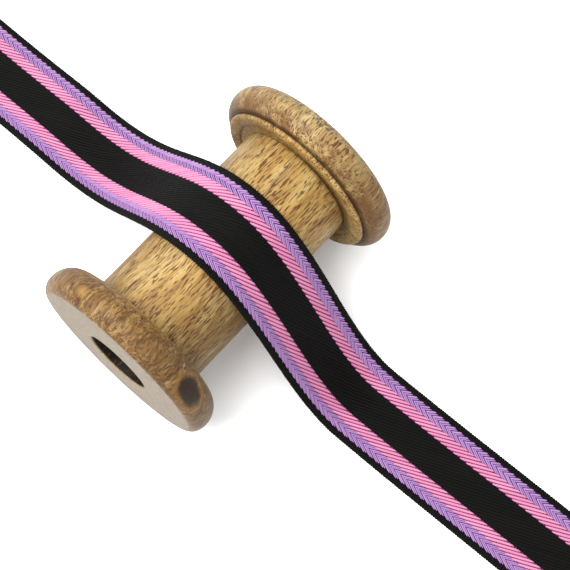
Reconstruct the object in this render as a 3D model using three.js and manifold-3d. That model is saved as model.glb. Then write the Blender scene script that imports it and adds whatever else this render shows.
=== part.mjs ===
// Striped ribbon draped over a turned wooden spool, both lying on a flat surface.
//
// Frame: millimetres, +Z up, surface at z = 0. The ribbon runs along X and the spool's axis is parallel to Y,
// so the spool's middle is above the origin. The ribbon climbs over the spool's core and comes down on both sides.

import * as THREE from "three";
import { mergeVertices } from "three/addons/utils/BufferGeometryUtils.js";
import Module from "manifold-3d";

// Ribbon: one woven length, cut square at both ends.
const ribbonWidth = 25;
const ribbonThickness = 1;
const ribbonStep = 2; // length of one straight step along the drape
const ribbonColumns = 2; // strips across the width

// Spool: one turned piece of wood with a hole through its axis.
const spoolLength = 79;
const flangeRadius = 28;
const coreRadius = 17.5;
const boreRadius = 9.4;
const mouthEase = 0.4; // softened corner at the hole's mouth
const spoolSides = 56; // straight sides around the axis
const flatDepth = 0.25; // small flat worn into each flange where the spool stands

// Marks along a flange's turned outline: radius from the axis, and depth inwards from the end face.
const mouth = { radius: boreRadius, inward: mouthEase };
const faceStart = { radius: boreRadius + mouthEase, inward: 0 };
const faceEnd = { radius: 25.2, inward: 0 };
const rimCrest = { radius: flangeRadius, inward: 4 };
const groove = { radius: 23.9, inward: 8.7 };
const beadEdge = { radius: 24.1, inward: 9.4 };
const beadCrest = { radius: 22.9, inward: 10.2 };
const beadInside = { radius: 20.2, inward: 9.4 };
const neck = { radius: 18.4, inward: 9.2 };
const shoulderFoot = { radius: 16.9, inward: 9.2 };
const shoulder = { radius: coreRadius, inward: 9.9 };

// The rest of the layout follows from the sizes above.
const axisHeight = flangeRadius - flatDepth;
const clearance = 0.3; // between the ribbon and the core
const drapeRadius = coreRadius + clearance + ribbonThickness / 2;
const restHeight = ribbonThickness / 2; // the ribbon's middle where it lies on the surface
const halfRun = 135; // the ribbon's reach along X on each side

// The ribbon touches the core's top between these two angles from the vertical.
const contactLeft = THREE.MathUtils.degToRad(-6);
const contactRight = THREE.MathUtils.degToRad(8);
const contactHandle = (4 / 3) * Math.tan((contactRight - contactLeft) / 4) * drapeRadius;
const overCore = (angle) => ({
  along: drapeRadius * Math.sin(angle),
  side: 2.7,
  height: axisHeight + drapeRadius * Math.cos(angle),
  rise: -Math.tan(angle),
  drift: 0,
});

// Middle line of the drape, a row for each bend: along X, sideways Y and height Z, the slopes dZ/dX and dY/dX,
// and the lengths of the straight handles that the curve follows before and after the bend.
const bends = [
  { along: -halfRun, side: 6.15, height: restHeight, rise: 0, drift: 0, before: 0, after: 7 },
  { along: -114, side: 6.15, height: restHeight, rise: 0, drift: 0, before: 7, after: 30 },
  { along: -65.6, side: 5.2, height: 6.5, rise: -0.045, drift: 0, before: 11.3, after: 31 },
  { ...overCore(contactLeft), before: 21.5, after: contactHandle },
  { ...overCore(contactRight), before: contactHandle, after: 20.5 },
  { along: 52.2, side: 1.8, height: restHeight, rise: 0, drift: 0.018, before: 18, after: 28 },
  { along: halfRun, side: 4.3, height: restHeight, rise: 0, drift: 0.018, before: 28, after: 0 },
];

// One smooth curve through the bends, from the left end to the right end.
function drapeCurve() {
  const curve = new THREE.CurvePath();
  const place = (bend) => new THREE.Vector3(bend.along, bend.side, bend.height);
  const heading = (bend) => new THREE.Vector3(1, bend.drift, bend.rise).normalize();
  for (let i = 1; i < bends.length; i++) {
    const from = bends[i - 1];
    const to = bends[i];
    const leave = place(from).addScaledVector(heading(from), from.after);
    const arrive = place(to).addScaledVector(heading(to), -to.before);
    curve.add(new THREE.CubicBezierCurve3(place(from), leave, arrive, place(to)));
  }
  return curve;
}

// A flat strip bent along the drape. Lines across the ribbon stay level and parallel to the spool's axis.
function ribbonGeometry() {
  const curve = drapeCurve();
  const flatLength = curve.getLength();
  const steps = Math.round(flatLength / ribbonStep);
  const strip = new THREE.BoxGeometry(flatLength, ribbonWidth, ribbonThickness, steps, ribbonColumns, 1);
  const position = strip.getAttribute("position");
  const flat = new THREE.Vector3();
  for (let i = 0; i < position.count; i++) {
    flat.fromBufferAttribute(position, i);
    const share = THREE.MathUtils.clamp(flat.x / flatLength + 0.5, 0, 1);
    const middle = curve.getPoint(share);
    const heading = curve.getTangent(share);
    const upward = new THREE.Vector3(-heading.z, 0, heading.x).normalize();
    middle.y += flat.y;
    middle.addScaledVector(upward, flat.z);
    position.setXYZ(i, middle.x, middle.y, middle.z);
  }
  strip.computeVertexNormals();
  return strip;
}

// A quarter of an ellipse between two marks. It leaves the first one either outwards or inwards.
function quarter(from, to, leaving, count) {
  const points = [];
  for (let i = 1; i <= count; i++) {
    const turn = (i / count) * (Math.PI / 2);
    const early = Math.sin(turn);
    const late = 1 - Math.cos(turn);
    const [radiusShare, inwardShare] = leaving === "along the radius" ? [early, late] : [late, early];
    points.push({
      radius: from.radius + (to.radius - from.radius) * radiusShare,
      inward: from.inward + (to.inward - from.inward) * inwardShare,
    });
  }
  return points;
}

// Half of the spool's outline, from the hole's mouth over the flange to the core. The far flange has a groove
// between its rim and its bead, and the near one runs smoothly from the rim to the bead's crest.
function flangeOutline(grooved) {
  const rimToCrest = grooved
    ? [
        ...quarter(rimCrest, groove, "along the axis", 6),
        ...quarter(groove, beadEdge, "along the radius", 2),
        ...quarter(beadEdge, beadCrest, "along the axis", 2),
      ]
    : quarter(rimCrest, beadCrest, "along the axis", 8);
  return [
    mouth,
    faceStart,
    faceEnd,
    ...quarter(faceEnd, rimCrest, "along the radius", 4),
    ...rimToCrest,
    ...quarter(beadCrest, beadInside, "along the radius", 2),
    neck,
    shoulderFoot,
    ...quarter(shoulderFoot, shoulder, "along the radius", 2),
  ];
}

function spoolGeometry() {
  const half = spoolLength / 2;
  const near = flangeOutline(false).map((p) => new THREE.Vector2(p.radius, -half + p.inward));
  const far = flangeOutline(true).map((p) => new THREE.Vector2(p.radius, half - p.inward)).reverse();
  return new THREE.LatheGeometry([...near, ...far, near[0].clone()], spoolSides);
}

const wasm = await Module();
wasm.setup();

function toSolid(geometry) {
  const bare = geometry.clone();
  bare.deleteAttribute("normal");
  bare.deleteAttribute("uv");
  const merged = mergeVertices(bare, 1e-4);
  return new wasm.Manifold(
    new wasm.Mesh({
      numProp: 3,
      vertProperties: merged.getAttribute("position").array,
      triVerts: new Uint32Array(merged.index.array),
    }),
  );
}

function toGeometry(solid) {
  const mesh = solid.getMesh();
  const geometry = new THREE.BufferGeometry();
  geometry.setAttribute("position", new THREE.BufferAttribute(mesh.vertProperties, 3));
  geometry.setIndex(new THREE.BufferAttribute(mesh.triVerts, 1));
  geometry.computeVertexNormals();
  return geometry;
}

// The turned spool, raised to its axis height, with both flanges planed to the surface.
function standingSpool() {
  const spool = spoolGeometry().translate(0, 0, axisHeight);
  const margin = 10;
  const underside = new THREE.BoxGeometry(2 * flangeRadius, spoolLength + 2 * margin, margin);
  underside.translate(0, 0, -margin / 2);
  return toGeometry(toSolid(spool).subtract(toSolid(underside)));
}

const cloth = new THREE.MeshStandardMaterial({ color: 0x161517, roughness: 0.75, metalness: 0 });
const wood = new THREE.MeshStandardMaterial({ color: 0xb98d55, roughness: 0.55, metalness: 0 });

const ribbon = new THREE.Mesh(ribbonGeometry(), cloth);
ribbon.name = "ribbon";

const spool = new THREE.Mesh(standingSpool(), wood);
spool.name = "spool";

const group = new THREE.Group();
group.add(ribbon, spool);

export default group;
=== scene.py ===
# %% [markdown]
# # A striped woven ribbon draped over a turned wooden spool
# The ribbon is woven with long floats: slanted bars of shiny thread that lie on a dark ground cloth. We build it flat,
# as it comes off the loom, and then bend the finished weave over the spool. The spool is one turned piece of wood.

# %% Load the fixed frame
import math
import random
from collections import namedtuple

import bmesh
import bpy
import numpy as np
from mathutils import Matrix, Vector
from mathutils.geometry import interpolate_bezier


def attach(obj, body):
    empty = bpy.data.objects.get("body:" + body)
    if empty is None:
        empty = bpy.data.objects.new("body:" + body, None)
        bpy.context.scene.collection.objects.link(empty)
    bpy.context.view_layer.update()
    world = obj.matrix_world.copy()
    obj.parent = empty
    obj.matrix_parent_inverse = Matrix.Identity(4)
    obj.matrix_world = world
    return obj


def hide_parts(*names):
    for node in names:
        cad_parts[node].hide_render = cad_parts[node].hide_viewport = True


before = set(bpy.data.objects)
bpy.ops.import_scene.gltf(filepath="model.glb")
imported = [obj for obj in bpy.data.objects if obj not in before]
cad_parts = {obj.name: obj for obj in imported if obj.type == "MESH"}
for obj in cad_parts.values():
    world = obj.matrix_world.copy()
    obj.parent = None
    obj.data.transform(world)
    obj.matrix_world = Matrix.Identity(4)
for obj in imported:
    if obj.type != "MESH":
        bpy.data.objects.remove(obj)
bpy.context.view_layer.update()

# %% [markdown]
# ## Camera
# The photograph looks down steeply from one corner with a long lens, so parallel edges stay nearly parallel. We aim
# the camera at a point on the table and step back along the line of sight.

# %% Camera
MM = 0.001  # metres in a millimetre
target = Vector((11.6, 13.0, 0.0)) * MM
distance = 400 * MM
turn = math.radians(42.02)
climb = math.radians(70.585)
backward = Vector((math.sin(turn) * math.cos(climb), -math.cos(turn) * math.cos(climb), math.sin(climb)))


def new_object(name, data):
    made = bpy.data.objects.new(name, data)
    bpy.context.scene.collection.objects.link(made)
    return made


lens = bpy.data.cameras.new("camera")
lens.sensor_width = 36
lens.lens = 87.9
lens.clip_start = 0.01
lens.clip_end = 20
camera = new_object("camera", lens)
camera.location = target + distance * backward
camera.rotation_euler = (-backward).to_track_quat("-Z", "Y").to_euler()
bpy.context.scene.camera = camera
print("camera at", [round(x, 4) for x in camera.location])

# %% [markdown]
# ## Colours and nodes
# Colours are written as they look on a screen. Blender's nodes want linear light, so one function turns them over.
# A second small function adds a node, with its settings and its links, and hands back the output that we need.


# %% Two helpers for materials
def colour(code):
    channels = [int(code[i : i + 2], 16) / 255 for i in (1, 3, 5)]
    linear = [c / 12.92 if c <= 0.04045 else ((c + 0.055) / 1.055) ** 2.4 for c in channels]
    return (*linear, 1.0)


def node(tree, kind, inputs=None, out=0, ramp=None, **settings):
    made = tree.nodes.new("ShaderNode" + kind)
    for key, value in settings.items():
        setattr(made, key, value)
    if ramp:
        stops = made.color_ramp.elements
        while len(stops) < len(ramp):
            stops.new(1.0)
        for stop, (position, shade) in zip(stops, ramp):
            stop.position = position
            stop.color = colour(shade)
    for key, value in (inputs or {}).items():
        if isinstance(value, bpy.types.NodeSocket):
            tree.links.new(value, made.inputs[key])
        else:
            made.inputs[key].default_value = value
    return made.outputs[out] if len(made.outputs) else made


def new_material(name):
    material = bpy.data.materials.new(name)
    material.use_nodes = True
    material.node_tree.nodes.clear()
    return material, material.node_tree


print("a mid pink in linear light:", [round(x, 3) for x in colour("#f08cc8")])

# %% [markdown]
# ## Table and light
# The photograph has a bright white table with only soft shadows close to the object. A white sky gives the soft
# light from everywhere, and one large soft lamp high above the left side gives the shadows their direction.

# %% Floor, sky and lamp
floor_mesh = bpy.data.meshes.new("floor")
bm = bmesh.new()
bmesh.ops.create_grid(bm, x_segments=1, y_segments=1, size=3.0)
bm.to_mesh(floor_mesh)
bm.free()
floor = new_object("floor", floor_mesh)

paper, tree = new_material("white matte paper, rolled smooth")
white = colour("#e7e7e7")
shader = node(tree, "BsdfPrincipled", {"Base Color": white, "Roughness": 0.95, "Specular IOR Level": 0.1})
node(tree, "OutputMaterial", {"Surface": shader})
floor_mesh.materials.append(paper)

world = bpy.data.worlds.new("studio")
world.use_nodes = True
sky = world.node_tree.nodes["Background"]
sky.inputs["Color"].default_value = colour("#ffffff")
sky.inputs["Strength"].default_value = 1.6
bpy.context.scene.world = world

softbox = bpy.data.lights.new("softbox", "AREA")
softbox.shape = "DISK"
softbox.size = 0.9
softbox.energy = 20.0
lamp = new_object("softbox", softbox)
lamp.location = (-0.3, -0.3, 0.85)
spool_middle = Vector((0, 0, 0.02))
lamp.rotation_euler = (spool_middle - lamp.location).to_track_quat("-Z", "Y").to_euler()
bpy.context.scene.view_settings.view_transform = "Standard"
print("lamp at", [round(x, 3) for x in lamp.location])

# %% [markdown]
# ## The drape's middle line
# A limp ribbon falls in one smooth curve: flat on the table, up the long way to the core, over its top, and down the
# steeper side. A few bends with handles describe it, the same ones that the solid model was made from.

# %% Sizes of the spool and the drape, in millimetres
AXIS_HEIGHT = 27.75  # the spool's axis above the table
CORE = 17.5  # the core's radius
CLEARANCE = 0.3  # between the core and the ribbon
RIBBON_THICKNESS = 1.0
REST = RIBBON_THICKNESS / 2  # height of the ribbon's middle where it lies on the table
REACH = 135.0  # from the spool's middle to either end of the ribbon, along X
drape_radius = CORE + CLEARANCE + RIBBON_THICKNESS / 2
contact_left, contact_right = math.radians(-6), math.radians(8)  # the ribbon touches the core between these
contact_handle = (4 / 3) * math.tan((contact_right - contact_left) / 4) * drape_radius
print("the ribbon bends round a radius of", round(drape_radius, 1), "mm")

# %% Bends: place along X, sideways Y and height Z, slopes dZ/dX and dY/dX, handle length before and after
Bend = namedtuple("Bend", "along side height rise drift before after")


def over_core(angle, before, after):
    along, height = drape_radius * math.sin(angle), AXIS_HEIGHT + drape_radius * math.cos(angle)
    return Bend(along, 2.7, height, -math.tan(angle), 0.0, before, after)


bends = [
    Bend(-REACH, 6.15, REST, 0.0, 0.0, 0.0, 7.0),
    Bend(-114.0, 6.15, REST, 0.0, 0.0, 7.0, 30.0),
    Bend(-65.6, 5.2, 6.5, -0.045, 0.0, 11.3, 31.0),
    over_core(contact_left, 21.5, contact_handle),
    over_core(contact_right, contact_handle, 20.5),
    Bend(52.2, 1.8, REST, 0.0, 0.018, 18.0, 28.0),
    Bend(REACH, 4.3, REST, 0.0, 0.018, 28.0, 0.0),
]


# %% Sample the middle line closely enough to measure along it
def heading(bend):
    return Vector((1, bend.drift, bend.rise)).normalized()


SAMPLES = 600  # points from one bend to the next
line = []
for start, end in zip(bends, bends[1:]):
    here, there = Vector(start[:3]), Vector(end[:3])
    leave, arrive = here + heading(start) * start.after, there - heading(end) * end.before
    stretch = interpolate_bezier(here, leave, arrive, there, SAMPLES)
    line.extend(stretch if not line else stretch[1:])
line = np.array([tuple(p) for p in line])
run = np.concatenate([[0], np.cumsum(np.linalg.norm(np.diff(line, axis=0), axis=1))])
tangent = np.gradient(line, run, axis=0)
LENGTH = float(run[-1])
WIDTH = 25.0
print("the ribbon is", round(LENGTH, 1), "mm long")

# %% [markdown]
# ## Bending the flat weave
# Everything woven is first made flat: s runs along the ribbon, w across it and h through its thickness, all in
# millimetres. Bending only moves vertices: each keeps its distance across and through the cloth. The flat place is
# stored on the mesh as well, so that the dyes and the thread marks follow the cloth.


# %% Bend points over the drape, and finish a woven piece
def drape(flat):
    s, w, h = flat.T
    middle = np.stack([np.interp(s, run, line[:, k]) for k in range(3)], axis=1)
    along_x = np.interp(s, run, tangent[:, 0])
    along_z = np.interp(s, run, tangent[:, 2])
    size = np.hypot(along_x, along_z)
    middle[:, 0] -= h * along_z / size
    middle[:, 1] += w
    middle[:, 2] += h * along_x / size
    return middle * MM


def woven_piece(name, bm, material):
    mesh = bpy.data.meshes.new(name)
    bm.to_mesh(mesh)
    bm.free()
    flat = np.empty(len(mesh.vertices) * 3)
    mesh.vertices.foreach_get("co", flat)
    flat_place = mesh.attributes.new("flat", "FLOAT_VECTOR", "POINT")
    flat_place.data.foreach_set("vector", flat)
    mesh.vertices.foreach_set("co", drape(flat.reshape(-1, 3)).ravel())
    mesh.polygons.foreach_set("use_smooth", np.ones(len(mesh.polygons), dtype=bool))
    mesh.materials.append(material)
    mesh.update()
    piece = new_object(name, mesh)
    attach(piece, "root")
    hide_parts("ribbon")
    triangles = sum(len(p.vertices) - 2 for p in mesh.polygons)
    print(name, "has", triangles, "triangles")
    return piece


# %% [markdown]
# ## Dyes
# The stripes, from one edge to the other, are black, purple, pink, black, pink, purple and black. Threads lie in the
# cloth as bars, and each bar shows the light as a soft line because polyester filament is smooth. The ground between
# the bars keeps its stripe's dye, darkened with painted shade for the shade of the bars over it.

# %% Where each stripe begins, across the ribbon
STRIPES = [
    (-WIDTH / 2, "edge"),
    (-10.75, "purple"),
    (-7.9, "pink"),
    (-4.85, "black"),
    (4.9, "pink"),
    (7.95, "purple"),
    (10.8, "edge"),
]
PERIOD = 2.245  # millimetres along the ribbon from one slanted bar to the next
PICK = PERIOD / 3  # three crossing threads for each bar
print("bars along the ribbon:", round(LENGTH / PERIOD))


# %% Material for the shiny bars of thread
def thread_material(name, body, light, shaded_tone, shine, rough):
    material, tree = new_material(name)
    # thread holds the place along the bar, the place across it and a number of the bar's own, from 0 to 1
    thread = node(tree, "Attribute", attribute_name="thread", out="Vector")
    flat = node(tree, "Attribute", attribute_name="flat", out="Vector")
    along = node(tree, "SeparateXYZ", {0: thread}, out="X")
    tone = node(tree, "SeparateXYZ", {0: thread}, out="Z")
    # a bar is a little lighter or darker than the next one, and soft patches about 8 mm wide lie over the cloth
    patches = node(tree, "TexNoise", {"Vector": flat, "Scale": 0.12, "Detail": 2.0, "Roughness": 0.6})
    mixed = node(tree, "Math", {0: tone, 1: 0.55}, operation="MULTIPLY")
    mixed = node(tree, "Math", {0: patches, 1: 0.45, 2: mixed}, operation="MULTIPLY_ADD")
    dyed = node(tree, "Mix", {"Factor": mixed, "A": colour(body), "B": colour(light)}, out=2, data_type="RGBA")
    # painted shade at the tips, where the filaments go under the crossing threads
    tip = node(tree, "Math", {0: along}, operation="ABSOLUTE")
    tip = node(tree, "MapRange", {"Value": tip, "From Min": 0.9, "From Max": 1.0, "To Max": 0.5})
    dyed = node(tree, "Mix", {"Factor": tip, "A": dyed, "B": colour(shaded_tone)}, out=2, data_type="RGBA")
    # filaments 0.05 mm apart are too fine to show, so they are drawn about 0.2 mm apart
    across = node(tree, "VectorMath", {0: thread, 1: (0.9, 2.6, 0.0)}, operation="MULTIPLY")
    own = node(tree, "VectorMath", {0: across, 1: thread}, operation="ADD")
    filament = node(tree, "TexNoise", {"Vector": own, "Scale": 1.0, "Detail": 3.0, "Roughness": 0.55})
    bump = node(tree, "Bump", {"Height": filament, "Strength": 0.18, "Distance": 0.08 * MM})
    finish = {"Base Color": dyed, "Roughness": rough, "Specular IOR Level": shine, "Normal": bump}
    shader = node(tree, "BsdfPrincipled", finish)
    node(tree, "OutputMaterial", {"Surface": shader})
    return material


# the third colour of each thread is the painted shade at its tips
pink_thread = thread_material("polyester filament, dyed pink", "#9d5879", "#a86d89", "#672c50", 0.2, 0.5)
purple_thread = thread_material("polyester filament, dyed purple", "#775585", "#886991", "#482a5d", 0.2, 0.5)
black_thread = thread_material("polyester filament, dyed black", "#070606", "#0b0a09", "#040404", 0.04, 0.6)
print("three dyed threads")

# %% Material for the ground cloth between the bars, its stripe dyes darkened with painted shade
ground_cloth, tree = new_material("plain woven polyester ground, piece dyed in stripes")
flat = node(tree, "Attribute", attribute_name="flat", out="Vector")
s_place = node(tree, "SeparateXYZ", {0: flat}, out="X")
w_place = node(tree, "SeparateXYZ", {0: flat}, out="Y")
share = node(tree, "MapRange", {"Value": w_place, "From Min": -WIDTH / 2, "From Max": WIDTH / 2})
starts = [(low / WIDTH + 0.5, kind) for low, kind in STRIPES]
# the ground's stripe dyes, darkened with painted shade for the shade under the bars
dyes_in_deep_shade = {"edge": "#030303", "black": "#030303", "pink": "#40172f", "purple": "#2c1742"}
dyes_in_light_shade = {"edge": "#080808", "black": "#070707", "pink": "#6f3555", "purple": "#50336a"}
shaded_tone = node(tree, "ValToRGB", {"Fac": share}, ramp=[(start, dyes_in_deep_shade[kind]) for start, kind in starts])
pale = node(tree, "ValToRGB", {"Fac": share}, ramp=[(start, dyes_in_light_shade[kind]) for start, kind in starts])
for output in (shaded_tone, pale):
    output.node.color_ramp.interpolation = "CONSTANT"
# the crossing threads show as small dots in the grooves, one for each pick
pick_wave = node(tree, "Math", {0: s_place, 1: 2 * math.pi / PICK}, operation="MULTIPLY")
pick_wave = node(tree, "Math", {0: pick_wave}, operation="SINE")
dots = node(tree, "MapRange", {"Value": pick_wave, "From Min": -0.2, "From Max": 0.8})
dyed = node(tree, "Mix", {"Factor": dots, "A": shaded_tone, "B": pale}, out=2, data_type="RGBA")
bump = node(tree, "Bump", {"Height": pick_wave, "Strength": 0.4, "Distance": 0.1 * MM})
matt = {"Base Color": dyed, "Roughness": 0.75, "Specular IOR Level": 0.06, "Normal": bump}
shader = node(tree, "BsdfPrincipled", matt)
node(tree, "OutputMaterial", {"Surface": shader})
print("ground cloth dyed in", len(STRIPES), "stripes")

# %% [markdown]
# ## The ground cloth
# The ground is a plain sheet as long as the ribbon. It carries all the bars. A grid becomes the sheet, and Solidify
# gives it its thickness before it is bent.

# %% Ground sheet, in squares of about 1 mm
GROUND_LOW, GROUND_HIGH = -0.3, 0.12  # its two faces, from the middle of the cloth
GROUND_WIDTH = 24.6  # the edge loops reach a little further
bm = bmesh.new()
bmesh.ops.create_grid(bm, x_segments=304, y_segments=24, size=0.5)
bmesh.ops.scale(bm, vec=(LENGTH, GROUND_WIDTH, 1), verts=bm.verts)
bmesh.ops.translate(bm, vec=(LENGTH / 2, 0, GROUND_LOW), verts=bm.verts)
bmesh.ops.solidify(bm, geom=bm.faces[:], thickness=-(GROUND_HIGH - GROUND_LOW))
bmesh.ops.recalc_face_normals(bm, faces=bm.faces)
heights = [v.co.z for v in bm.verts]
print("ground from", round(min(heights), 2), "to", round(max(heights), 2), "mm")
ground = woven_piece("ribbon_ground", bm, ground_cloth)

# %% [markdown]
# ## Bars of thread
# In every stripe the threads make slanted bars, one after another at the same distance. One bar is a ball stretched
# into a rod with full, rounded ends. Spin with no angle copies it along the ribbon, and every copy is then nudged a
# little, because no two floats of real thread lie quite alike.


# %% One bar
BAR_SIDES = 8
FRONT_DEPTH, BACK_DEPTH = 0.36, 0.2  # half of a bar's thickness
FULLNESS = 0.42  # below 1 the ball's ends swell towards a rod's


def add_bar(bm, layer, number, low, high, angle, width, crest, shift, cut_low, cut_high, rings):
    """A bar from w = low to w = high with its middle at s = shift.

    A cut of 1 ends the bar parallel to the stripe, and a cut of 0 ends it square to its own length.
    """
    slant = math.radians(angle)
    depth = FRONT_DEPTH if crest > 0 else BACK_DEPTH
    square = 1 - (cut_low + cut_high) / 2
    length = (high - low) / abs(math.sin(slant)) - square * width * (1 / abs(math.tan(slant)) - 1)
    made = bmesh.ops.create_uvsphere(bm, u_segments=BAR_SIDES, v_segments=rings, radius=1)["verts"]
    bmesh.ops.rotate(bm, cent=(0, 0, 0), matrix=Matrix.Rotation(math.pi / 2, 3, "Y"), verts=made)
    for v in made:
        v.co.x = math.copysign(abs(v.co.x) ** FULLNESS, v.co.x)
        v[layer] = Vector((v.co.x, v.co.y, number))
    bmesh.ops.scale(bm, vec=(length / 2, width / 2, depth), verts=made)
    for v in made:
        cut = cut_high if (v.co.x > 0) == (slant > 0) else cut_low
        v.co.x -= cut * v.co.y / math.tan(slant)
    bmesh.ops.rotate(bm, cent=(0, 0, 0), matrix=Matrix.Rotation(slant, 3, "Z"), verts=made)
    bmesh.ops.translate(bm, vec=(shift, (low + high) / 2, crest - math.copysign(depth, crest)), verts=made)


# %% Copies of the bars, and the square cut at both ends
NUDGE_ACROSS = 0.6  # of the nudge along the ribbon, because the crossing threads hold the bars in line


def bars_piece(name, rows, step, material, seed, rings=10, nudge=0.03):
    bm = bmesh.new()
    layer = bm.verts.layers.float_vector.new("thread")
    for number, row in enumerate(rows):
        add_bar(bm, layer, number, *row, rings)
    reach = max(abs(v.co.x) for v in bm.verts)
    copies = math.ceil((LENGTH + 2 * reach) / step)
    one = len(bm.verts)
    start = -math.ceil(reach / step) * step
    bmesh.ops.translate(bm, vec=(start, 0, 0), verts=bm.verts)
    bmesh.ops.spin(
        bm, geom=bm.verts[:] + bm.edges[:] + bm.faces[:], cent=(0, 0, 0), axis=(0, 0, 1),
        dvec=(step, 0, 0), angle=0, steps=copies, use_duplicate=True,
    )
    dice = random.Random(seed)
    nudges = {}
    for index, v in enumerate(bm.verts):
        key = (index // one, round(v[layer].z))
        if key not in nudges:
            nudges[key] = (dice.gauss(0, nudge), dice.gauss(0, nudge * NUDGE_ACROSS), dice.random())
        along, across, tone = nudges[key]
        v.co.x += along
        v.co.y += across
        v[layer] = Vector((v[layer].x, v[layer].y, tone))
    for place, direction in ((0.0, -1), (LENGTH, 1)):
        cut = bmesh.ops.bisect_plane(
            bm, geom=bm.verts[:] + bm.edges[:] + bm.faces[:], plane_co=(place, 0, 0), plane_no=(direction, 0, 0),
            clear_outer=True,
        )
        rim = [g for g in cut["geom_cut"] if isinstance(g, bmesh.types.BMEdge)]
        bmesh.ops.edgeloop_fill(bm, edges=rim)
    bmesh.ops.recalc_face_normals(bm, faces=bm.faces)
    print(name, "bars:", len(nudges))
    return woven_piece(name, bm, material)


# %% [markdown]
# ## Pink stripes
# Both pink stripes are one family of bars, all slanted the same way. They end in small round tips against the black
# centre and go under the purple on the other side.

# %% Pink bars: low and high edge, slant in degrees, width, crest, place along, cut of the low and the high end
CREST, BACK = 0.5, -0.45  # heights of the bars above and below the middle of the cloth
pink_rows = [
    (4.82, 8.15, 25.0, 0.79, CREST, 0.0, 0.72, 1.0),
    (-8.10, -4.76, 24.5, 0.79, CREST, 0.9, 1.0, 0.72),
    # the back of the same stripes, where the bars lie the other way
    (4.85, 7.95, -25.0, 0.86, BACK, 0.5, 1.0, 1.0),
    (-7.9, -4.85, -25.0, 0.86, BACK, 0.2, 1.0, 1.0),
]
pink = bars_piece("pink_floats", pink_rows, PERIOD, pink_thread, seed=11)

# %% [markdown]
# ## Purple herringbone
# Beside each pink stripe the purple threads turn back on themselves and make small arrowheads that all point the
# same way. Each arm is a pair of bars with a thin slit between them, so the slits alternate between wide and narrow.
# The second bar of a pair lies a little lower than the first.

# %% Purple bars
purple_rows = [
    # the upper stripe: arms up to the black edge, then arms that lean the other way and end at the pink
    (9.26, 10.88, 34.0, 0.62, CREST, 0.30, 1.0, 0.45),
    (9.26, 10.66, 34.0, 0.37, CREST - 0.03, 1.155, 1.0, 0.45),
    (7.80, 9.52, -27.0, 0.41, CREST, 0.70, 0.8, 1.0),
    (7.80, 9.52, -27.0, 0.38, CREST - 0.02, 1.66, 0.8, 1.0),
    # the lower stripe
    (-9.30, -7.75, 26.0, 0.42, CREST, 0.42, 1.0, 0.8),
    (-9.30, -7.80, 26.0, 0.38, CREST - 0.02, 1.34, 1.0, 0.8),
    (-10.88, -9.02, -25.0, 0.42, CREST, 0.855, 0.5, 1.0),
    (-10.70, -9.02, -25.0, 0.38, CREST - 0.02, 1.633, 0.5, 1.0),
    # the back
    (7.95, 10.8, 30.0, 0.95, BACK, 0.0, 1.0, 1.0),
    (-10.8, -7.9, 30.0, 0.95, BACK, 0.6, 1.0, 1.0),
]
purple = bars_piece("purple_floats", purple_rows, PERIOD, purple_thread, seed=12, nudge=0.02)

# %% [markdown]
# ## Black centre
# The centre is a black twill: long low ribs that run slantwise from one pink stripe to the other. They are just
# visible, because black thread gives back little light.

# %% Black twill ribs
TWILL_CREST = 0.35
black_rows = [
    (-5.1, 5.15, 22.0, 0.86, TWILL_CREST, 0.0, 1.0, 1.0),
    # the back
    (-4.9, 4.9, -22.0, 0.86, BACK, 0.4, 1.0, 1.0),
]
twill = bars_piece("black_twill", black_rows, PERIOD, black_thread, seed=13, rings=22, nudge=0.02)

# %% [markdown]
# ## Edges
# At both edges the weft turns round the last threads in tight black loops, which give the ribbon its fine bumpy
# outline. They are short steep bars, three for each bar of the stripes.

# %% Black edge loops
EDGE_CREST = 0.38
edge_rows = [
    (10.5, WIDTH / 2, 72.0, 0.92, EDGE_CREST, 0.0, 0.0, 1.0),
    (-WIDTH / 2, -10.5, 72.0, 0.92, EDGE_CREST, 0.3, 1.0, 0.0),
]
edges = bars_piece("black_edges", edge_rows, PICK, black_thread, seed=14, rings=8, nudge=0.025)

# %% [markdown]
# ## The spool's outline
# A turner cuts the spool with a few tools: a flat end, a thick rounded rim, a narrow groove, a small bead and the
# core. We draw half of that outline with quarter ellipses between marks. Only the far end has the groove: the near
# end runs smoothly from its rim to the bead's crest.

# %% Marks of the turned outline: radius, and depth inwards from the end face
HALF_SPOOL = 39.5  # half of the spool's length
BORE, FLANGE = 9.4, 28.0  # radius of the hole and of the rim
mouth, face_start, face_end = (BORE, 0.4), (BORE + 0.4, 0.0), (25.2, 0.0)
rim_crest, groove = (FLANGE, 4.0), (23.9, 8.7)
bead_edge, bead_crest, bead_inside = (24.1, 9.4), (22.9, 10.2), (20.2, 9.4)
neck, shoulder_foot, shoulder = (18.4, 9.2), (16.9, 9.2), (CORE, 9.9)
face_rings = (14.0, 0.0), (20.0, 0.0)  # two rings that divide the flat face


def quarter(start, end, radius_first, count):
    points = []
    for i in range(1, count + 1):
        early, late = math.sin(i / count * math.pi / 2), 1 - math.cos(i / count * math.pi / 2)
        share = (early, late) if radius_first else (late, early)
        points.append(tuple(a + (b - a) * t for a, b, t in zip(start, end, share)))
    return points


def half_outline(grooved):
    if grooved:
        rim_to_crest = [
            *quarter(rim_crest, groove, False, 14),
            *quarter(groove, bead_edge, True, 4),
            *quarter(bead_edge, bead_crest, False, 6),
        ]
    else:
        rim_to_crest = quarter(rim_crest, bead_crest, False, 20)
    return [
        mouth, face_start, *face_rings, face_end,
        *quarter(face_end, rim_crest, True, 10),
        *rim_to_crest,
        *quarter(bead_crest, bead_inside, True, 5),
        neck, shoulder_foot,
        *quarter(shoulder_foot, shoulder, True, 4),
    ]


print("half outline:", len(half_outline(True)), "points")

# %% [markdown]
# ## Turning the spool
# Spin sweeps the outline once round the axis and merges the seam. The two small flats on which the spool stands are
# then cut at table height and closed.

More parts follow.
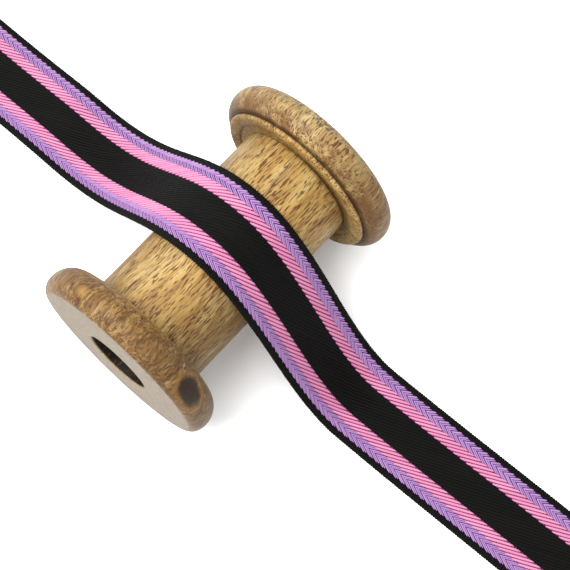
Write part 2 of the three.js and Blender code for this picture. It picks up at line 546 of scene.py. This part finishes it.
# %% Spin, lift to the axis height and flatten
TURN_STEPS = 128
bm = bmesh.new()
near = [bm.verts.new((radius, depth - HALF_SPOOL, 0)) for radius, depth in half_outline(False)]
far = [bm.verts.new((radius, HALF_SPOOL - depth, 0)) for radius, depth in reversed(half_outline(True))]
ring = near + far
for a, b in zip(ring, ring[1:] + ring[:1]):
    bm.edges.new((a, b))
bmesh.ops.spin(
    bm, geom=bm.verts[:] + bm.edges[:], cent=(0, 0, 0), axis=(0, 1, 0), dvec=(0, 0, 0), angle=2 * math.pi,
    steps=TURN_STEPS, use_merge=True,
)
bmesh.ops.remove_doubles(bm, verts=bm.verts, dist=1e-4)
bmesh.ops.recalc_face_normals(bm, faces=bm.faces)
bmesh.ops.translate(bm, vec=(0, 0, AXIS_HEIGHT), verts=bm.verts)
cut = bmesh.ops.bisect_plane(
    bm, geom=bm.verts[:] + bm.edges[:] + bm.faces[:], plane_co=(0, 0, 0), plane_no=(0, 0, -1), clear_outer=True
)
bmesh.ops.edgeloop_fill(bm, edges=[g for g in cut["geom_cut"] if isinstance(g, bmesh.types.BMEdge)])
bmesh.ops.recalc_face_normals(bm, faces=bm.faces)
bmesh.ops.scale(bm, vec=(MM, MM, MM), verts=bm.verts)
spool_mesh = bpy.data.meshes.new("turned_spool")
bm.to_mesh(spool_mesh)
triangles = sum(len(p.vertices) - 2 for p in spool_mesh.polygons)
print("spool:", triangles, "triangles, litres", round(bm.calc_volume() * 1000, 4))
bm.free()

# %% Sharp corners at the face and the bore, smooth everywhere else
spool_mesh.polygons.foreach_set("use_smooth", np.ones(len(spool_mesh.polygons), dtype=bool))
spool_mesh.set_sharp_from_angle(angle=math.radians(32))
spool = new_object("turned_spool", spool_mesh)
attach(spool, "root")
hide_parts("spool")

# %% [markdown]
# ## Mango wood
# The wood is a light tropical hardwood such as mango, turned, sanded and oiled. Its grain runs along the spool. Its
# open pores are short brown dashes along the grain on the sides and dots on the end faces. Noise that is stretched
# along the grain gives exactly this: a dash where the cut runs along it and a dot where it runs across.

# %% Places on the wood
wood, tree = new_material("mango wood, turned, sanded and oiled")
place = node(tree, "TexCoord", out="Object")
mm_place = node(tree, "VectorMath", {0: place, "Scale": 1 / MM}, operation="SCALE")
from_axis = node(tree, "VectorMath", {0: mm_place, 1: (0, 0, AXIS_HEIGHT)}, operation="SUBTRACT")
flat_section = node(tree, "VectorMath", {0: from_axis, 1: (1, 0, 1)}, operation="MULTIPLY")
radius = node(tree, "VectorMath", {0: flat_section}, operation="LENGTH", out="Value")
y_place = node(tree, "SeparateXYZ", {0: mm_place}, out="Y")
x_place = node(tree, "SeparateXYZ", {0: mm_place}, out="X")
z_place = node(tree, "SeparateXYZ", {0: mm_place}, out="Z")
from_middle = node(tree, "Math", {0: y_place}, operation="ABSOLUTE")
depth = node(tree, "Math", {0: HALF_SPOOL, 1: from_middle}, operation="SUBTRACT")


# %% Helpers: a soft window on a value, a product of shares, and a coat of colour
ANY_LOW, ANY_HIGH = (-101, -100), (100, 101)  # limits that no value reaches, for a window with one open side


def window(value, start, full, still_full, end):
    rising = node(tree, "MapRange", {"Value": value, "From Min": start, "From Max": full})
    limits = {"From Min": still_full, "From Max": end, "To Min": 1.0, "To Max": 0.0}
    falling = node(tree, "MapRange", {"Value": value, **limits})
    return node(tree, "Math", {0: rising, 1: falling}, operation="MULTIPLY")


def share_of(*parts):
    product = parts[0]
    for part in parts[1:]:
        product = node(tree, "Math", {0: product, 1: part}, operation="MULTIPLY")
    return product


def coat(under, amount, code):
    return node(tree, "Mix", {"Factor": amount, "A": under, "B": colour(code)}, out=2, data_type="RGBA")


# %% Bands of growth, bent a little by noise
wander = node(tree, "TexNoise", {"Vector": mm_place, "Scale": 0.05, "Detail": 1.0}, out="Color")
wander = node(tree, "VectorMath", {0: wander, 1: (0.5, 0.5, 0.5)}, operation="SUBTRACT")
strongly = node(tree, "VectorMath", {0: wander, "Scale": 8.0}, operation="SCALE")
bent = node(tree, "VectorMath", {0: mm_place, 1: strongly}, operation="ADD")
slightly = node(tree, "VectorMath", {0: wander, "Scale": 2.5}, operation="SCALE")
nearly_straight = node(tree, "VectorMath", {0: mm_place, 1: slightly}, operation="ADD")
long_bands = node(tree, "VectorMath", {0: bent, 1: (0.17, 0.025, 0.17)}, operation="MULTIPLY")
bands = node(tree, "TexNoise", {"Vector": long_bands, "Scale": 1.0, "Detail": 4.0, "Roughness": 0.6})
wood_colour = node(
    tree,
    "ValToRGB",
    {"Fac": bands},
    ramp=[(0.28, "#6e5128"), (0.42, "#836536"), (0.52, "#8e7442"), (0.62, "#947f52"), (0.78, "#80673c")],
)

# %% Streaks about 1 mm wide, and pores 0.3 mm wide and 3 mm long, crowded in some zones
streak_place = node(tree, "VectorMath", {0: nearly_straight, 1: (0.85, 0.07, 0.85)}, operation="MULTIPLY")
streaks = node(tree, "TexNoise", {"Vector": streak_place, "Scale": 1.0, "Detail": 4.0, "Roughness": 0.65})
zones = node(tree, "TexNoise", {"Vector": long_bands, "Scale": 2.2, "Detail": 2.0, "W": 3.0}, noise_dimensions="4D")
pore_place = node(tree, "VectorMath", {0: nearly_straight, 1: (2.6, 0.33, 2.6)}, operation="MULTIPLY")
pore = node(tree, "TexNoise", {"Vector": pore_place, "Scale": 1.0, "Detail": 1.0, "Roughness": 0.5})
crowd = node(tree, "Math", {0: zones, 1: 0.3, 2: pore}, operation="MULTIPLY_ADD")
pores = node(tree, "MapRange", {"Value": crowd, "From Min": 0.69, "From Max": 0.76})

# %% The near rim is browner and its figure is wavy
near_rim = share_of(window(y_place, *ANY_LOW, -31, -29.5), window(radius, 18.5, 19.5, *ANY_HIGH))
wave_place = node(tree, "VectorMath", {0: bent, 1: (0.75, 0.25, 0.75)}, operation="MULTIPLY")
wavy = node(tree, "TexNoise", {"Vector": wave_place, "Scale": 1.0, "Detail": 3.0, "Distortion": 0.8})
wood_colour = coat(wood_colour, share_of(near_rim, 0.65), "#5a4020")

# %% Both sides are browner than the top, and the far rim is paler; the brown on the right is painted shade
left_side = node(tree, "MapRange", {"Value": x_place, "From Min": -2.0, "From Max": -14.0, "To Max": 0.5})
wood_colour = coat(wood_colour, left_side, "#553d1e")
near_half = node(tree, "MapRange", {"Value": y_place, "From Min": 4.0, "From Max": -6.0})
# painted shade on the right of the near half, the side away from the lamp
right_side_shade = node(tree, "MapRange", {"Value": x_place, "From Min": 3.0, "From Max": 15.0, "To Max": 0.65})
wood_colour = coat(wood_colour, share_of(near_half, right_side_shade), "#47381f")
far_rim = share_of(window(y_place, 29.5, 31.0, *ANY_HIGH), window(radius, 23.5, 24.5, *ANY_HIGH))
wood_colour = coat(wood_colour, share_of(far_rim, 0.35), "#7d6e53")
# painted shade on the right of the far rim, the side away from the lamp
far_rim_right_shade = node(tree, "MapRange", {"Value": x_place, "From Min": 8.0, "From Max": 24.0, "To Max": 0.75})
wood_colour = coat(wood_colour, share_of(far_rim, far_rim_right_shade), "#4f3819")

# %% The streaks and pores go over these tones
dark_streak = node(tree, "MapRange", {"Value": streaks, "From Min": 0.46, "From Max": 0.66, "To Max": 0.65})
wood_colour = coat(wood_colour, dark_streak, "#513416")
pale_streak = node(tree, "MapRange", {"Value": streaks, "From Min": 0.46, "From Max": 0.3, "To Max": 0.45})
wood_colour = coat(wood_colour, pale_streak, "#95835a")
waves = window(wavy, 0.46, 0.58, *ANY_HIGH)
wood_colour = coat(wood_colour, share_of(near_rim, waves, 0.65), "#3a2511")
wood_colour = coat(wood_colour, share_of(pores, 0.85), "#3b200b")

# %% Browner blotches beside the far groove, and painted shade in the groove and in the corners of the core
far_side = node(tree, "MapRange", {"Value": y_place, "From Min": 0.0, "From Max": 1.0})
blotch = node(tree, "TexNoise", {"Vector": bent, "Scale": 0.16, "Detail": 4.0, "Roughness": 0.65})
beside = share_of(far_side, window(depth, 4.4, 6.4, 8.6, 9.2), window(radius, 22, 23, *ANY_HIGH))
wood_colour = coat(wood_colour, share_of(beside, window(blotch, 0.38, 0.56, *ANY_HIGH), 0.75), "#4b2f13")
# painted shade in the far groove, broken up by blotches
groove_shade = share_of(far_side, window(depth, 8.0, 8.5, 9.0, 9.4), window(radius, 23.0, 23.5, 24.9, 25.8))
wood_colour = coat(wood_colour, share_of(groove_shade, window(blotch, 0.22, 0.45, *ANY_HIGH), 0.85), "#33200e")
# painted shade in the corners where the core meets the ends, on the right side
on_the_right = node(tree, "MapRange", {"Value": x_place, "From Min": -6.0, "From Max": 6.0, "To Max": 0.75})
corner_shade = share_of(window(radius, 16.0, 17.0, 18.6, 20.0), window(depth, 8.0, 9.0, 9.6, 10.6), on_the_right)
wood_colour = coat(wood_colour, corner_shade, "#432b11")


# %% Marks of this one piece of wood, a reddish patch and a grey patch, and a painted highlight as a pale spot
def mark(centre, half_sizes, turn=0.0):
    """Distance from the middle of an egg-shaped mark, 1 at its edge, with a noise on top that roughens it."""
    turned = node(tree, "VectorRotate", {"Vector": mm_place, "Center": centre, "Angle": turn}, rotation_type="Y_AXIS")
    offset = node(tree, "VectorMath", {0: turned, 1: centre}, operation="SUBTRACT")
    offset = node(tree, "VectorMath", {0: offset, 1: half_sizes}, operation="DIVIDE")
    distance = node(tree, "VectorMath", {0: offset}, operation="LENGTH", out="Value")
    return node(tree, "Math", {0: blotch, 1: 0.9, 2: distance}, operation="MULTIPLY_ADD")


reddish = mark((-18.5, -30.5, 42.5), (6.0, 3.0, 6.0))
wood_colour = coat(wood_colour, share_of(window(reddish, *ANY_LOW, 0.9, 1.6), 0.65), "#552e1b")
greyish = mark((-24.5, 31.5, 38.0), (4.5, 3.0, 5.0))
wood_colour = coat(wood_colour, share_of(window(greyish, *ANY_LOW, 0.9, 1.6), 0.6), "#3b2e22")
# a painted highlight: a small pale spot on top of the near rim
pale_spot_highlight = mark((-12.0, -35.5, 53.0), (2.2, 1.6, 2.2))
wood_colour = coat(wood_colour, share_of(window(pale_spot_highlight, *ANY_LOW, 0.8, 1.8), 0.45), "#8f713e")

# %% The dark knot, with a golden ring around it
knot = mark((23.2, -35.0, 43.3), (5.2, 3.7, 4.5), turn=math.radians(-56.2))
knot_edge = 1.0 + 0.45  # the noise adds 0.45 to the distance on average
golden = window(knot, knot_edge - 0.25, knot_edge - 0.1, knot_edge + 0.05, knot_edge + 0.35)
dotted = window(pore, 0.35, 0.55, *ANY_HIGH)
wood_colour = coat(wood_colour, share_of(golden, dotted, 0.6), "#6b4a1c")
wood_colour = coat(wood_colour, share_of(window(knot, *ANY_LOW, knot_edge - 0.35, knot_edge), 0.95), "#1a1008")

# %% A thin dashed line of blue-green dye along the far rim
dye_line = node(tree, "Math", {0: x_place, 1: 0.03, 2: 37.5}, operation="MULTIPLY_ADD")
dye_line = node(tree, "Math", {0: y_place, 1: dye_line}, operation="SUBTRACT")
dashes = window(pore, 0.40, 0.52, *ANY_HIGH)
on_top = share_of(window(x_place, -13, -10, 14, 17), window(z_place, 40, 42, *ANY_HIGH))
dyed = share_of(window(dye_line, -0.35, -0.1, 0.1, 0.35), on_top, dashes)
wood_colour = coat(wood_colour, share_of(dyed, 0.7), "#4b655d")

# %% Sawn end faces left bare, and the bore: darker wood with painted shade
on_face = window(depth, *ANY_LOW, 0.02, 0.06)
saw_place = node(tree, "VectorMath", {0: mm_place, 1: (0.9, 0.9, 0.9)}, operation="MULTIPLY")
saw_marks = node(tree, "TexNoise", {"Vector": saw_place, "Scale": 1.0, "Detail": 4.0, "Roughness": 0.7})
bare = node(tree, "ValToRGB", {"Fac": saw_marks}, ramp=[(0.3, "#685f55"), (0.5, "#756d63"), (0.7, "#7d766a")])
bare_share = share_of(on_face, 0.94)
wood_colour = node(tree, "Mix", {"Factor": bare_share, "A": wood_colour, "B": bare}, out=2, data_type="RGBA")
in_bore = window(radius, *ANY_LOW, BORE + 0.05, BORE + 0.3)
# the bore is darker wood, darkened to near black with painted shade
bore_wood_and_shade = node(tree, "ValToRGB", {"Fac": pore}, ramp=[(0.45, "#0d0804"), (0.6, "#1d1309"), (0.75, "#46331d")])
wood_colour = node(tree, "Mix", {"Factor": in_bore, "A": wood_colour, "B": bore_wood_and_shade}, out=2, data_type="RGBA")

# %% Shine and relief of the wood
rough = node(tree, "MapRange", {"Value": on_face, "To Min": 0.5, "To Max": 0.9})
pore_relief = node(tree, "Math", {0: pores, 1: streaks}, operation="ADD")
bump = node(tree, "Bump", {"Height": pore_relief, "Strength": 0.3, "Distance": -0.08 * MM})
oiled = {"Base Color": wood_colour, "Roughness": rough, "Specular IOR Level": 0.14, "Normal": bump}
shader = node(tree, "BsdfPrincipled", oiled)
node(tree, "OutputMaterial", {"Surface": shader})
spool_mesh.materials.append(wood)
print("wood nodes:", len(tree.nodes))
